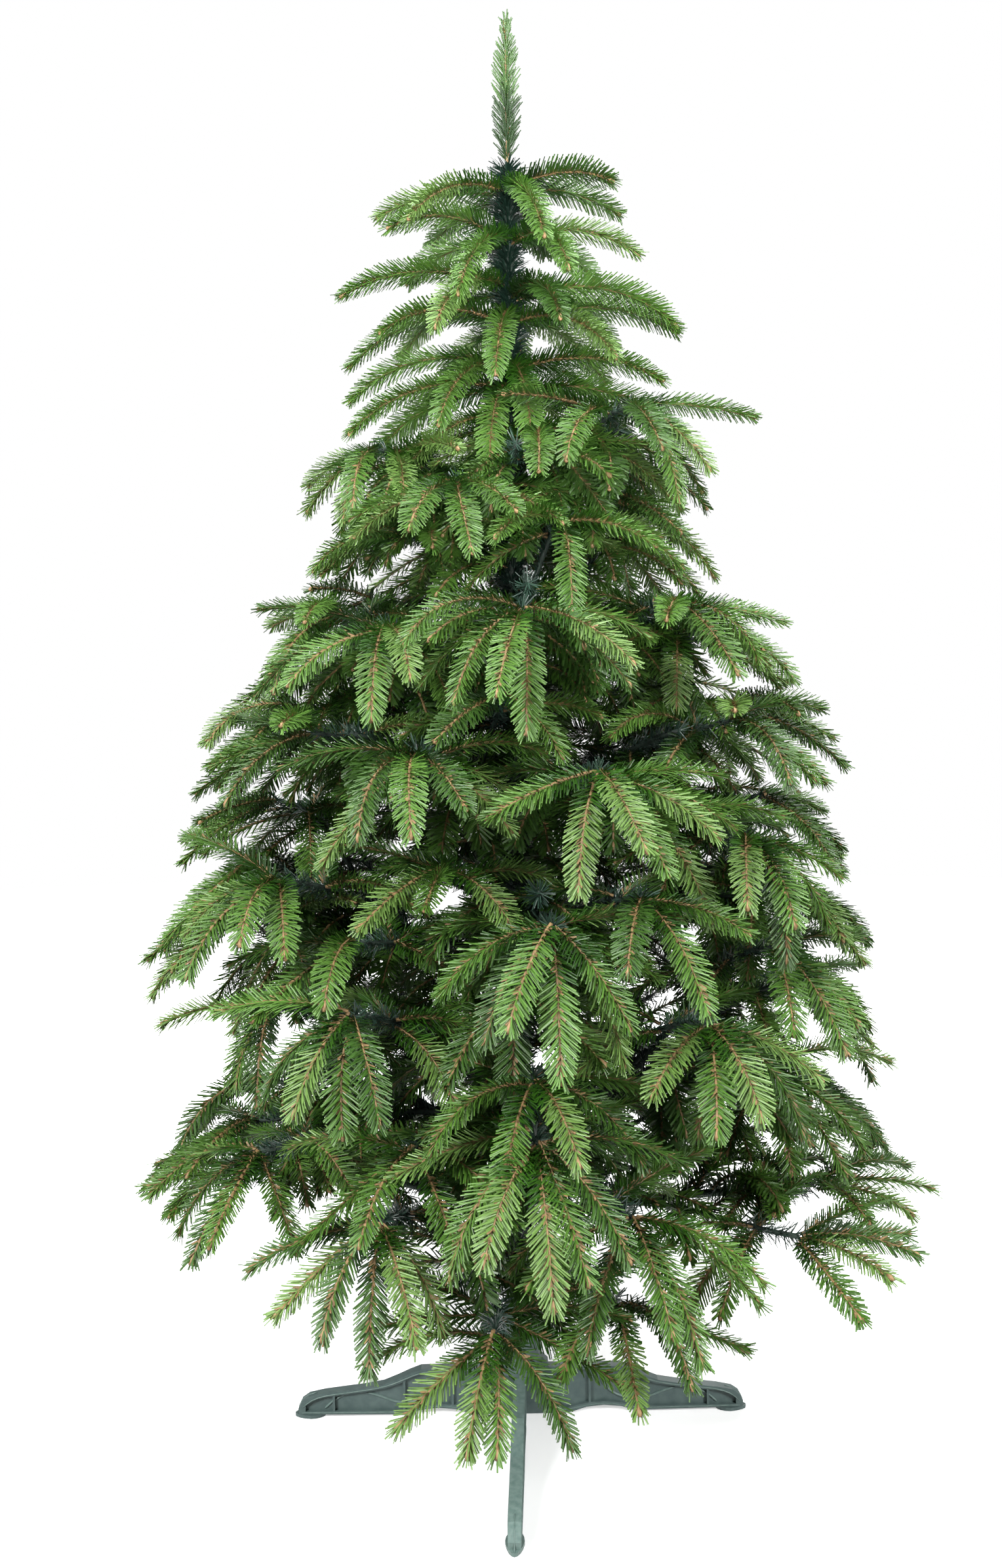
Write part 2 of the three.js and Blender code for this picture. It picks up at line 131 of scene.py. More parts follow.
def rings_mesh(points, frames_u, frames_v, radii, sides, cap=True):
    """Tubes: points (T, S, 3), section axes u and v (T, S, 3), radii (T, S). Returns verts and tris."""
    T, S, _ = points.shape
    ang = np.arange(sides) / sides * 2 * np.pi
    c, s = np.cos(ang), np.sin(ang)
    v = points[:, :, None, :] + radii[:, :, None, None] * (
        c[None, None, :, None] * frames_u[:, :, None, :] + s[None, None, :, None] * frames_v[:, :, None, :])
    verts = v.reshape(-1, 3)
    k = np.arange(S - 1)[:, None] * sides
    i = np.arange(sides)[None, :]
    j = (i + 1) % sides
    a, b, c2, d = k + i, k + j, k + sides + j, k + sides + i
    one = np.concatenate([np.stack([a, b, c2], -1).reshape(-1, 3), np.stack([a, c2, d], -1).reshape(-1, 3)])
    if cap:
        fan = [[0, x + 1, x] for x in range(1, sides - 1)]
        e = (S - 1) * sides
        fan += [[e, e + x, e + x + 1] for x in range(1, sides - 1)]
        one = np.concatenate([one, np.array(fan)])
    tris = (one[None] + (np.arange(T) * S * sides)[:, None, None]).reshape(-1, 3)
    return verts, tris


# ------------------------------------------------------------------ limbs and fans
LIMBS = {}
for tag, (z, hub, rise, rows) in TIERS.items():
    for n, (az, spread, lift) in enumerate(rows):
        LIMBS[f"{tag}{n + 1}"] = dict(az=math.radians(az), hub=hub * spread, z=z + lift, rise=rise)


def limb_point(limb, f):
    f = np.asarray(f, float)
    r0 = 0.012
    d = r0 + (limb["hub"] - r0) * f
    p = bearing(limb["az"]) * d[..., None]
    p[..., 2] = limb["z"] - limb["rise"] + limb["rise"] * (1 - (1 - f) ** 1.45)
    return p


def wrap_angle(a):
    return (a + np.pi) % (2 * np.pi) - np.pi


fans = [dict(az=math.radians(a), r=r, z=z, n=n + 1, k=k, front=True) for a, r, z, n, k in FANS_FRONT]
for z, r, azs in FANS_ROUND:
    for a in azs:
        fans.append(dict(az=math.radians(a + RNG.uniform(-4, 4)), r=r * RNG.uniform(0.95, 1.05), z=z + RNG.uniform(-0.022, 0.022),
                         n=8, k=RNG.uniform(0.98, 1.08), front=False))

paths = []      # branch wires: (S, 3)
path_node = []
tips = []       # every moulded tip


NEEDLE_SIZE = {"fan": 0.0250, "back": 0.0262, "inner": 0.0285, "whorl": 0.0275, "leade": 0.0310}


def add_tip(p, head, e0, e1, length, kind, bend=None, twist=None):
    tips.append(dict(p=np.array(p, float), head=head, e0=e0, e1=e1, L=length,
                     bend=RNG.normal(0, 0.16) if bend is None else bend,
                     twist=RNG.normal(0, 0.20) if twist is None else twist,
                     needle=NEEDLE_SIZE[kind[:5]] * (1.0 if p[2] > 0.52 else 0.92 if p[2] > 0.42 else 0.82) * RNG.uniform(0.94, 1.06), kind=kind))


def nearest_limb(f):
    def cost(item):
        l = item[1]
        return abs(wrap_angle(l["az"] - f["az"])) * f["r"] + 1.6 * abs(l["z"] - f["z"])
    return min(LIMBS.items(), key=cost)


S_PATH = 12
# how far the crown reaches at each height: left, right, front and back of the pole
REACH = np.array([
    (1.60, 0.130, 0.150, 0.14, 0.14), (1.55, 0.130, 0.152, 0.14, 0.15), (1.48, 0.165, 0.155, 0.16, 0.17),
    (1.41, 0.226, 0.205, 0.19, 0.21), (1.34, 0.214, 0.186, 0.21, 0.22), (1.28, 0.262, 0.312, 0.25, 0.26),
    (1.21, 0.330, 0.312, 0.28, 0.29), (1.14, 0.225, 0.245, 0.29, 0.27), (1.07, 0.258, 0.240, 0.32, 0.31),
    (1.01, 0.342, 0.355, 0.35, 0.35), (0.94, 0.318, 0.352, 0.38, 0.36), (0.87, 0.400, 0.416, 0.41, 0.39),
    (0.80, 0.408, 0.412, 0.43, 0.41), (0.74, 0.424, 0.428, 0.45, 0.43), (0.67, 0.418, 0.412, 0.47, 0.45),
    (0.60, 0.472, 0.450, 0.48, 0.46), (0.53, 0.436, 0.450, 0.50, 0.48), (0.47, 0.350, 0.456, 0.51, 0.49),
    (0.40, 0.408, 0.430, 0.52, 0.50), (0.33, 0.466, 0.482, 0.52, 0.50), (0.26, 0.474, 0.545, 0.52, 0.49),
    (0.19, 0.420, 0.500, 0.51, 0.46),
])
# lowest point of a tip by bearing in degrees
LOW_AT = (-180, -120, -62, -40, -28, -19, 8, 20, 28, 40, 52, 75, 120, 180)
LOW_Z = (0.270, 0.280, 0.335, 0.330, 0.312, 0.230, 0.208, 0.238, 0.226, 0.300, 0.330, 0.335, 0.290, 0.270)


def crown_reach(z, az):
    row = [np.interp(-z, -REACH[:, 0], REACH[:, k]) for k in (1, 2, 3, 4)]
    s, c = math.sin(az), math.cos(az)
    side = row[1] if s > 0 else row[0]
    depth = row[2] if c > 0 else row[3]
    return 1.0 / math.sqrt((s / side) ** 2 + (c / depth) ** 2)


def droop(h, low):
    """Start and end slope of a tip: those facing the front hang more than those at the sides."""
    face = max(0.0, math.cos(wrap_angle(h)))
    e0 = RNG.uniform(2, 24) - 20 * face
    e1 = RNG.uniform(-36, -8) - 30 * face
    if low:
        e0 -= RNG.uniform(12, 28)
        e1 = max(e1 - RNG.uniform(12, 26), -84)
    return math.radians(e0), math.radians(e1)


def place(p, head, e0, e1, length, kind, **k):
    """Adds a tip, bent up, bent down or shortened until its end is inside the crown's outline."""
    p = np.array(p, float)
    for _ in range(16):
        if e0 - e1 < 0.2:
            e0 = e1 + 0.2
        share = (math.sin(e0) - math.sin(e1)) / (e0 - e1)
        end = p + bearing(head) * length * share
        z = p[2] + length * (math.cos(e1) - math.cos(e0)) / (e0 - e1)
        az = math.atan2(end[0], -end[1])
        r = math.hypot(end[0], end[1]) + 0.014
        if z < np.interp(math.degrees(az), LOW_AT, LOW_Z):
            e0 += math.radians(7)
            e1 += math.radians(8)
            length *= 0.985
        elif r > crown_reach(z, az):
            e0 -= math.radians(3)
            e1 = max(e1 - math.radians(3), math.radians(-88))
            length *= 0.972
        else:
            break
    add_tip(p, head, e0, e1, length, kind, **k)


for f in fans:
    name, limb = nearest_limb(f)
    hub = bearing(f["az"]) * f["r"]
    hub[2] = f["z"]
    off = abs(wrap_angle(limb["az"] - f["az"]))
    f0 = float(np.clip(0.46 - 0.5 * off, 0.06, 0.42))
    start = limb_point(limb, f0)
    reach = np.linalg.norm(hub - start)
    out = unit(bearing(f["az"]) + np.array([0, 0, 0.10]))
    ahead = unit(limb_point(limb, f0 + 0.1) - start)
    c1 = start + ahead * reach * 0.30
    c2 = hub - out * reach * 0.34
    t = np.linspace(0, 1, S_PATH)[:, None]
    path = (1 - t) ** 3 * start + 3 * (1 - t) ** 2 * t * c1 + 3 * (1 - t) * t ** 2 * c2 + t ** 3 * hub
    paths.append(path)
    path_node.append(name)
    f["hub"] = hub
    d = path[-1] - path[-3]
    head0 = math.atan2(d[0], -d[1])
    head0 = f["az"] + 0.5 * wrap_angle(head0 - f["az"])
    n = f["n"]
    side_on = abs(math.sin(f["az"]))
    lean = math.radians(RNG.uniform(-8, 10) + 12 * side_on)
    half = math.radians(118)
    for i, h in enumerate(np.linspace(-half, half, n)):
        h = h + RNG.normal(0, 0.09)
        front = math.cos(h)
        length = f["k"] * (0.140 + 0.034 * max(0, front)) * RNG.uniform(0.93, 1.07)
        # the fans that face front below the middle have the shortest tips
        length *= 1 - 0.17 * max(0.0, math.cos(f["az"])) ** 1.5 * float(np.clip((1.15 - f["z"]) / 0.25, 0, 1))
        # every other tip starts lower and hangs steeper
        e0, e1 = droop(head0 + h, i % 2)
        e0 += lean + math.radians(RNG.normal(0, 6))
        e1 += lean + math.radians(RNG.normal(0, 8))
        back = path[int((1.0 if abs(h) < 1.2 else 0.90) * (S_PATH - 1))]
        lift = np.array([0, 0, RNG.uniform(-0.005, 0.005)])
        place(back + bearing(head0 + h) * 0.005 + lift, head0 + h, e0, e1, length, "fan" if f["front"] else "back")
    # one or two tips nearer the pole
    for s in (-1, 1):
        if RNG.random() < (0.95 if f["front"] else 0.45):
            q = path[int(RNG.uniform(0.34, 0.66) * (S_PATH - 1))]
            place(q, head0 + s * RNG.uniform(0.6, 1.2), math.radians(RNG.uniform(-25, 15)), math.radians(RNG.uniform(-80, -45)),
                  RNG.uniform(0.110, 0.140), "inner")

# short growth along the limbs fills the inside of the crown
for name, limb in LIMBS.items():
    for fr in (0.17, 0.34, 0.52, 0.72):
        for s in (-1, 1):
            q = limb_point(limb, fr + RNG.uniform(-0.08, 0.08))
            place(q, limb["az"] + s * RNG.uniform(0.5, 1.3), math.radians(RNG.uniform(-30, 20)), math.radians(RNG.uniform(-85, -40)),
                  RNG.uniform(0.125, 0.150), "inner")

# and short growth straight off the pole closes the view through the middle
for i in range(66):
    z = 0.33 + 0.82 * (i + RNG.uniform(0.2, 0.8)) / 66
    h = wrap_angle(i * 2.39996 + RNG.uniform(-0.3, 0.3))
    place(bearing(h) * 0.012 + np.array([0, 0, z]), h, math.radians(RNG.uniform(0, 35)), math.radians(RNG.uniform(-62, -25)),
          RNG.uniform(0.150, 0.185), "inner")

for wi, (z, reach, n, a0, e0, e1) in enumerate(WHORLS):
    for i in range(n):
        h = math.radians(a0 + 360.0 * i / n + RNG.uniform(-6, 6))
        face = max(0.0, math.cos(wrap_angle(h))) ** 2
        up = math.radians(e0 + RNG.uniform(-6, 8) - 34 * face)
        down = math.radians(max(e1 + RNG.uniform(-10, 10) - 38 * face, -84))
        # length that gives the wanted horizontal reach on an arc from up to down
        share = (math.sin(up) - math.sin(down)) / (up - down)
        zz = z + RNG.uniform(-0.012, 0.012)
        add_tip(bearing(h) * 0.010 + np.array([0, 0, zz]), h, up, down, min(0.19 if face > 0.3 else 0.24, (reach * RNG.uniform(0.90, 1.04)) / share), f"whorl{wi}")
# the leader
add_tip(np.array([0, 0, POLE_TOP_Z + 0.002]), 0.0, math.radians(89.5), math.radians(89.5), TREE_TOP - POLE_TOP_Z - 0.016, "leader", bend=0.0, twist=0.0)

NT = len(tips)
P0 = np.array([t["p"] for t in tips])
HEAD = np.array([t["head"] for t in tips])
E0 = np.array([t["e0"] for t in tips])
E1 = np.array([t["e1"] for t in tips])
LEN = np.array([t["L"] for t in tips])
BEND = np.array([t["bend"] for t in tips])
TWIST = np.array([t["twist"] for t in tips])

# ------------------------------------------------------------------ stems of the tips
ST = 17
tt = np.linspace(0, 1, ST)
el = E0[:, None] + (E1 - E0)[:, None] * tt[None] ** 1.12
hd = HEAD[:, None] + BEND[:, None] * tt[None]
TAN = np.stack([np.sin(hd) * np.cos(el), -np.cos(hd) * np.cos(el), np.sin(el)], -1)
SIDE = np.stack([np.cos(hd), np.sin(hd), np.zeros_like(hd)], -1)
NOR = np.cross(TAN, SIDE)
tw = TWIST[:, None]
SIDE, NOR = (np.cos(tw)[..., None] * SIDE + np.sin(tw)[..., None] * NOR, -np.sin(tw)[..., None] * SIDE + np.cos(tw)[..., None] * NOR)
step = LEN[:, None, None] * 0.5 * (TAN[:, 1:] + TAN[:, :-1]) / (ST - 1)
CEN = np.concatenate([P0[:, None], P0[:, None] + np.cumsum(step, 1)], 1)


def sample(arr, ti, t):
    """arr (T, ST, 3) at tip ti and parameter t in 0..1."""
    x = t * (ST - 1)
    i = np.clip(x.astype(int), 0, ST - 2)
    w = (x - i)[:, None]
    return arr[ti, i] * (1 - w) + arr[ti, i + 1] * w


def stems():
    keep = np.arange(0, ST, 2)
    r = (0.0025 + (0.0018 - 0.0025) * tt[keep])[None] * np.ones((NT, 1))
    r = r * (1 + 0.14 * np.where(np.arange(len(keep)) % 2, 1, -1))[None]
    return rings_mesh(CEN[:, keep], SIDE[:, keep], NOR[:, keep], r, 3, cap=False)


def buds():
    """Blunt brown bud at the end of each tip."""
    prof = np.array([[-0.006, 0.0016], [-0.001, 0.0031], [0.003, 0.0032], [0.006, 0.0014]])
    pts = CEN[:, -1][:, None] + TAN[:, -1][:, None] * prof[None, :, 0, None]
    u = np.repeat(SIDE[:, -1][:, None], len(prof), 1)
    v = np.repeat(NOR[:, -1][:, None], len(prof), 1)
    return rings_mesh(pts, u, v, np.repeat(prof[None, :, 1], NT, 0), 4)


# ------------------------------------------------------------------ needles
PER_METRE = {"fan": 1580, "back": 1440, "inner": 1260, "whorl": 2100, "leader": 2100}


def needles():
    ti, t, side, beta, ln, al = [], [], [], [], [], []
    for k, tip in enumerate(tips):
        kind = "whorl" if tip["kind"].startswith("whorl") else tip["kind"]
        n = int(PER_METRE[kind] * tip["L"])
        x = (np.arange(n) + RNG.uniform(-0.3, 0.3, n)) / n
        x = 0.035 + 0.955 * np.clip(x, 0, 1)
        s = np.where(np.arange(n) % 2, 1.0, -1.0)
        row = (np.arange(n) // 2) % 7
        b = np.choose(row, [2, 28, -28, 14, -52, 56, -12]) + RNG.normal(0, 4.5, n)
        l = np.choose(row, [1.0, 0.97, 0.94, 1.0, 0.80, 0.76, 1.0]) * RNG.uniform(0.96, 1.04, n)
        if kind == "whorl":
            b = np.choose(row, [4, 38, -34, 18, -58, 64, -16]) + RNG.normal(0, 6, n)
        if kind == "leader":
            b = RNG.uniform(-90, 90, n)
            l = RNG.uniform(0.84, 1.04, n)
        a = 52 - 8 * x - 18 * np.clip((x - 0.84) / 0.16, 0, 1) ** 1.5 + RNG.normal(0, 2.0, n)
        size = tip["needle"] * (0.66 + 0.16 * np.clip(x / 0.10, 0, 1) + 0.20 * np.clip(x / 0.55, 0, 1)) * (1 - 0.42 * np.clip((x - 0.58) / 0.42, 0, 1) ** 1.4)
        if kind == "leader":
            size = size * 1.06 * (1 - 0.42 * np.clip((x - 0.45) / 0.55, 0, 1) ** 1.3)
            a = a - 11
        ti.append(np.full(n, k)); t.append(x); side.append(s); beta.append(b); ln.append(size * l); al.append(a)
        # the tuft round the bud
        m = 14
        ti.append(np.full(m, k)); t.append(RNG.uniform(0.955, 1.0, m)); side.append(np.where(np.arange(m) % 2, 1.0, -1.0))
        beta.append(RNG.uniform(-80, 80, m)); ln.append(RNG.uniform(0.011, 0.017, m)); al.append(RNG.uniform(12, 42, m))
    return [np.concatenate(v) for v in (ti, t, side, beta, ln, al)]


def blades(ti, t, s, beta, length, alpha, w0, w1, ridge):
    """Needles as folded blades of four faces: base and end edge, with a ridge between. Returns (N, 6, 3)."""
    n = len(ti)
    p = sample(CEN, ti, t)
    T_ = unit(sample(TAN, ti, t))
    B_ = unit(sample(SIDE, ti, t))
    N_ = unit(sample(NOR, ti, t))
    ca, sa = np.cos(np.radians(alpha))[:, None], np.sin(np.radians(alpha))[:, None]
    cb, sb = np.cos(np.radians(beta))[:, None], np.sin(np.radians(beta))[:, None]
    d = unit(ca * T_ + sa * (cb * s[:, None] * B_ + sb * N_))
    side = unit(np.cross(d, N_))
    up = np.cross(side, d)
    roll = RNG.normal(0, 0.45, n)[:, None]
    w = np.cos(roll) * side + np.sin(roll) * up
    h = -np.sin(roll) * side + np.cos(roll) * up
    foot = p + unit(cb * s[:, None] * B_ + sb * N_) * 0.0012
    end = foot + d * length[:, None]
    return np.stack([foot - w * w0, foot + h * ridge, foot + w * w0, end - w * w1, end + h * ridge * 0.8, end + w * w1], 1)


BLADE_F = np.array([[0, 1, 4], [0, 4, 3], [1, 2, 5], [1, 5, 4]])
FLAT_F = np.array([[0, 1, 2], [0, 2, 3]])
n_ti, n_t, n_s, n_b, n_l, n_a = needles()
NN = len(n_ti)
BROAD = np.array([{"inner": 1.32, "back": 1.14}.get(t["kind"], 1.0) for t in tips])[n_ti][:, None]
NEEDLE_V = blades(n_ti, n_t, n_s, n_b, n_l, n_a, 0.00088 * BROAD, 0.00072 * BROAD, 0.00062)

# short brown scales at the foot of the needles along the upper side
KIND_SHARE = np.array([{"inner": 0.05, "back": 0.14, "leader": 1.0}.get(t["kind"], 0.30) for t in tips])
scale_pick = (n_b > -12) & (RNG.random(NN) < KIND_SHARE[n_ti])
q_ti, q_t = n_ti[scale_pick], n_t[scale_pick]
SCALE_V = blades(q_ti, np.clip(q_t + RNG.normal(0, 0.004, len(q_t)), 0, 1), n_s[scale_pick], n_b[scale_pick] + 14,
                 RNG.uniform(0.0055, 0.0085, len(q_t)), n_a[scale_pick] - 8, 0.00125, 0.00080, 0.0)

# ------------------------------------------------------------------ film bristle on pole and wires
def bristle(centres, tangents, per, length, width, lean, rng):
    """Thin film strips standing round wires. centres and tangents are (M, 3); returns verts and tris."""
    M = len(centres) * per
    c = np.repeat(centres, per, 0)
    t = np.repeat(tangents, per, 0)
    ref = np.where(np.abs(t[:, 2:3]) > 0.8, np.array([[1.0, 0, 0]]), np.array([[0, 0, 1.0]]))
    a = unit(np.cross(t, ref))
    b = np.cross(t, a)
    th = rng.uniform(0, 2 * np.pi, M)[:, None]
    rad = np.cos(th) * a + np.sin(th) * b
    d = unit(rad + t * (lean + rng.normal(0, 0.22, M))[:, None] + rng.normal(0, 0.10, (M, 3)))
    L = (length * rng.uniform(0.72, 1.08, M))[:, None]
    w = unit(np.cross(d, unit(t + rng.normal(0, 0.6, (M, 3))))) * (width * rng.uniform(0.8, 1.2, M))[:, None] * 0.5
    c = c + t * rng.uniform(-0.002, 0.002, (M, 1))
    q = np.stack([c - w, c + w, c + d * L + w * 0.55, c + d * L - w * 0.55], 1)
    tris = np.array([[0, 1, 2], [0, 2, 3]])[None] + (np.arange(M) * 4)[:, None, None]
    return q.reshape(-1, 3), tris.reshape(-1, 3)


def resample(path, stepping):
    seg = np.linalg.norm(np.diff(path, axis=0), axis=1)
    s = np.concatenate([[0], np.cumsum(seg)])
    n = max(4, int(s[-1] / stepping))
    x = np.linspace(0, s[-1], n)
    pts = np.stack([np.interp(x, s, path[:, k]) for k in range(3)], 1)
    return pts, unit(np.gradient(pts, axis=0))


# ------------------------------------------------------------------ materials
def srgb(r, g, b):
    def f(c):
        c /= 255.0
        return c / 12.92 if c <= 0.04045 else ((c + 0.055) / 1.055) ** 2.4
    return (f(r), f(g), f(b), 1.0)


def plain(name, colour, rough=0.5, spec=0.5, sheen=0.0, coat=0.0, coat_rough=0.3, trans=0.0):
    m = bpy.data.materials.new(name)
    m.use_nodes = True
    b = m.node_tree.nodes["Principled BSDF"]
    b.inputs["Base Color"].default_value = colour
    b.inputs["Roughness"].default_value = rough
    b.inputs["Specular IOR Level"].default_value = spec
    b.inputs["Sheen Weight"].default_value = sheen
    b.inputs["Coat Weight"].default_value = coat
    b.inputs["Coat Roughness"].default_value = coat_rough
    return m


def procedural(name, dark, light, scale, rough=(0.4, 0.6), bump=0.2, dist=0.001, detail=6.0, stretch=(1, 1, 1), spec=0.5):
    """Two-tone noise with a fine bump, in object coordinates."""
    m = bpy.data.materials.new(name)
    m.use_nodes = True
    nt = m.node_tree
    b = nt.nodes["Principled BSDF"]
    b.inputs["Specular IOR Level"].default_value = spec
    co = nt.nodes.new("ShaderNodeTexCoord")
    mp = nt.nodes.new("ShaderNodeMapping")
    mp.inputs["Scale"].default_value = stretch
    nz = nt.nodes.new("ShaderNodeTexNoise")
    nz.inputs["Scale"].default_value = scale
    nz.inputs["Detail"].default_value = detail
    ramp = nt.nodes.new("ShaderNodeValToRGB")
    ramp.color_ramp.elements[0].position = 0.32
    ramp.color_ramp.elements[0].color = dark
    ramp.color_ramp.elements[1].position = 0.70
    ramp.color_ramp.elements[1].color = light
    rr = nt.nodes.new("ShaderNodeMapRange")
    rr.inputs["To Min"].default_value = rough[0]
    rr.inputs["To Max"].default_value = rough[1]
    bp = nt.nodes.new("ShaderNodeBump")
    bp.inputs["Strength"].default_value = bump
    bp.inputs["Distance"].default_value = dist
    fine = nt.nodes.new("ShaderNodeTexNoise")
    fine.inputs["Scale"].default_value = scale * 6
    fine.inputs["Detail"].default_value = 3
    L = nt.links.new
    L(co.outputs["Object"], mp.inputs["Vector"])
    L(mp.outputs["Vector"], nz.inputs["Vector"])
    L(mp.outputs["Vector"], fine.inputs["Vector"])
    L(nz.outputs["Fac"], ramp.inputs["Fac"])
    L(ramp.outputs["Color"], b.inputs["Base Color"])
    L(nz.outputs["Fac"], rr.inputs["Value"])
    L(rr.outputs["Result"], b.inputs["Roughness"])
    L(fine.outputs["Fac"], bp.inputs["Height"])
    L(bp.outputs["Normal"], b.inputs["Normal"])
    return m


NEEDLE_TINTS_SHADE_AND_SHEEN = [   # root of a tip, then its outer part, in four tints dealt out by spray; the darker root is partly the needles' own green and partly painted shade, the lighter outer part is a painted sheen
    (srgb(35, 73, 8), srgb(77, 114, 42)),
    (srgb(29, 62, 6), srgb(67, 103, 34)),
    (srgb(40, 78, 12), srgb(92, 123, 57)),
    (srgb(22, 50, 6), srgb(53, 86, 28)),
]
needle_mats = []
for i, (root, end) in enumerate(NEEDLE_TINTS_SHADE_AND_SHEEN):
    needle_mats.append((plain(f"needle_root_{i + 1}", root, 0.40, 0.5), plain(f"needle_end_painted_sheen_{i + 1}", end, 0.40, 0.6)))
mat_stem = procedural("stem_brown", srgb(96, 76, 46), srgb(142, 114, 76), 220, (0.5, 0.7), 0.4, 0.0006)
mat_bud = plain("bud_brown", srgb(138, 110, 74), 0.6)
mat_film = plain("film_dark", srgb(20, 42, 32), 0.36, 0.6)
mat_film_b = plain("film_grey", srgb(50, 74, 62), 0.32, 0.6)
mat_core = procedural("wire_core", srgb(14, 26, 20), srgb(34, 54, 42), 160, (0.6, 0.8), 0.5, 0.001)
mat_stand = procedural("stand_green", srgb(70, 87, 85), srgb(86, 103, 100), 90, (0.42, 0.58), 0.15, 0.0004)
# a paler copy of the stand plastic: painted light for the front blade's top-lit faces and painted highlights on the
# relief beads
mat_stand_lit = procedural("stand_painted_lit", srgb(86, 108, 102), srgb(110, 129, 123), 150, (0.34, 0.52), 0.22, 0.0005)


def give(ob, mat, slot, *nodes):
    ob.data.materials.clear()
    ob.data.materials.append(mat)
    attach(ob, "root")
    if nodes:
        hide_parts(*nodes)
    return ob


# ------------------------------------------------------------------ build the pieces
ALL = sorted(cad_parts)
FOLIAGE = [n for n in ALL if n.startswith("foliage") or n == "leader"]
BOUGHS = [n for n in ALL if n.startswith("bough")]

# sprays deep in the crown take the darker tints, a painted shade for the inside of the crown
deep = np.array([t["kind"] == "inner" for t in tips])
tint = np.where(deep, RNG.choice([1, 3, 3], NT), RNG.integers(0, 4, NT))
tint[-1] = 3   # the leader
# where a tip's darker root, with its painted shade, gives way to the lighter outer part with its painted sheen
shaded_root_part = n_t < np.clip(0.34 + 0.10 * np.sin(n_ti * 1.7), 0.2, 0.5)
plain_tip = np.array([t["kind"] in ("inner", "back") for t in tips])[n_ti]


def needle_mesh(pick):
    """Folded blades of four faces, and flat ones of two where a tip is deep inside or at the back."""
    folded = NEEDLE_V[pick & ~plain_tip]
    flat = NEEDLE_V[pick & plain_tip][:, [0, 2, 5, 3]]
    f1 = (BLADE_F[None] + (np.arange(len(folded)) * 6)[:, None, None]).reshape(-1, 3)
    f2 = (FLAT_F[None] + (np.arange(len(flat)) * 4)[:, None, None]).reshape(-1, 3) + len(folded) * 6
    return np.concatenate([folded.reshape(-1, 3), flat.reshape(-1, 3)]), np.concatenate([f1, f2])


for i in range(4):
    for part in (0, 1):
        pick = (tint[n_ti] == i) & (shaded_root_part == (part == 0))
        vv, ff = needle_mesh(pick)
        ob = mesh_from(f"needles_{'root' if part == 0 else 'end'}_{i + 1}", vv, ff)
        give(ob, needle_mats[i][part], "needles", *FOLIAGE)
        print("piece", ob.name, len(ff))

v, f = stems()
ob = mesh_from("tip_stems", v, f)
give(ob, mat_stem, "needles", *FOLIAGE)
print("piece", ob.name, len(f))
SCALE_V = SCALE_V[:, [0, 2, 5, 3]]
ff = (np.array([[0, 1, 2], [0, 2, 3]])[None] + (np.arange(len(SCALE_V)) * 4)[:, None, None]).reshape(-1, 3)
ob = mesh_from("tip_scales", SCALE_V.reshape(-1, 3), ff)
give(ob, mat_stem, "needles", *FOLIAGE)
print("piece", ob.name, len(ff))
v, f = buds()
ob = mesh_from("tip_buds", v, f)
give(ob, mat_bud, "needles", *FOLIAGE)
print("piece", ob.name, len(f))

# wires: main limbs and their branches
main = [limb_point(l, np.linspace(0, 0.97, S_PATH)) for l in LIMBS.values()]
allp = np.array(main + paths)
tang = unit(np.gradient(allp, axis=1))
ref = np.zeros_like(tang); ref[..., 2] = 1
uu = unit(np.cross(tang, ref))
vv = np.cross(tang, uu)
rad = np.concatenate([np.repeat(np.linspace(0.0052, 0.0034, S_PATH)[None], len(main), 0), np.repeat(np.linspace(0.0040, 0.0028, S_PATH)[None], len(paths), 0)])
v, f = rings_mesh(allp, uu, vv, rad, 7)
ob = mesh_from("bough_wires", v, f)
give(ob, mat_core, "bough_wrap", *BOUGHS)
print("piece", ob.name, len(f))

film = [[], []]
for k, path in enumerate(list(allp)):
    pts, tg = resample(path, 0.004)
    film[0].append(bristle(pts, tg, 3, 0.020, 0.0018, 0.55, RNG))
    # the end by the hub shows, so it is thicker and a little bluer
    pts, tg = resample(path[-4:], 0.004)
    film[1].append(bristle(pts, tg, 6, 0.021, 0.0014, 0.75, RNG))


def join(parts):
    vs, fs, o = [], [], 0
    for v, f in parts:
        vs.append(v); fs.append(f + o); o += len(v)
    return np.concatenate(vs), np.concatenate(fs)


for i, mat in enumerate((mat_film, mat_film_b)):
    v, f = join(film[i])
    ob = mesh_from(f"bough_film_{i + 1}", v, f, smooth=False)
    give(ob, mat, "bough_wrap", *BOUGHS)
    print("piece", ob.name, len(f))

# pole: a core with a spiral of relief, wrapped in film
zs = np.linspace(POLE_FOOT_Z, POLE_TOP_Z - 0.001, 420)
core = []
sides = 20
a = np.arange(sides) / sides * 2 * np.pi
rr = (POLE_FOOT_R + (POLE_TOP_R - POLE_FOOT_R) * (zs - zs[0]) / (zs[-1] - zs[0])) - 0.0035
relief = 0.0012 * np.sin(zs[:, None] * 2 * np.pi / 0.011 + a[None])
ringr = rr[:, None] + relief
v = np.stack([np.cos(a)[None] * ringr, np.sin(a)[None] * ringr, np.repeat(zs[:, None], sides, 1)], -1).reshape(-1, 3)
k = np.arange(len(zs) - 1)[:, None] * sides
i = np.arange(sides)[None]
j = (i + 1) % sides
f = np.concatenate([np.stack([k + i, k + j, k + sides + j], -1).reshape(-1, 3), np.stack([k + i, k + sides + j, k + sides + i], -1).reshape(-1, 3)])
fan = [[0, x + 1, x] for x in range(1, sides - 1)]
e = (len(zs) - 1) * sides
fan += [[e, e + x, e + x + 1] for x in range(1, sides - 1)]
